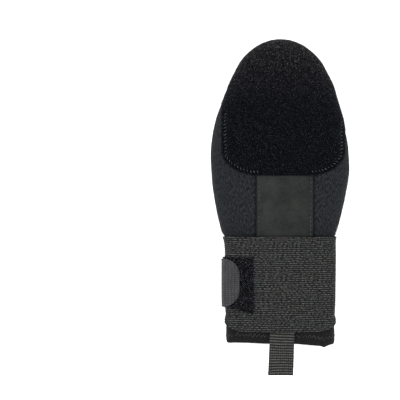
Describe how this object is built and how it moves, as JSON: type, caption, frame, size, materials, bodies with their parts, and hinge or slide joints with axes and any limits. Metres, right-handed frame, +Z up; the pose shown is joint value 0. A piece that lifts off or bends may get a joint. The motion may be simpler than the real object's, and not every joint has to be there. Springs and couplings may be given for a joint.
{
  "type": "sliding mitt",
  "caption": "Padded hollow hand guard for sliding into bases, with a napped finger cap, an elastic wrist wrap, a hook and loop strap, a bound cuff and a pull tab.",
  "frame": {"origin": "on the floor, under the middle of the mitt's outline", "axes": "+Y from the cuff towards the fingertips, +Z up, away from the face that the mitt lies on, +X to the right as seen from above with the fingertips up"},
  "size_m": [0.1434, 0.349, 0.0492],
  "materials": {
    "neoprene": "matt jersey face",
    "smooth_panel": "smooth, satin",
    "napped_cloth": "napped",
    "binding_cloth": "matt with zigzag stitches",
    "ribbed_elastic": "fine ribs round the wrist",
    "loop_pile": "pile",
    "hook_tape": "fine ribs",
    "webbing": "ribs across"
  },
  "bodies": {
    "root": {"mitt_shell": "neoprene", "upper_panel": "smooth_panel", "lower_panel": "smooth_panel", "finger_cap": "napped_cloth", "cuff_binding": "binding_cloth", "wrist_wrap": "ribbed_elastic", "loop_patch": "loop_pile", "hook_strap": "hook_tape", "pull_tab": "webbing"}
  },
  "joints": []
}
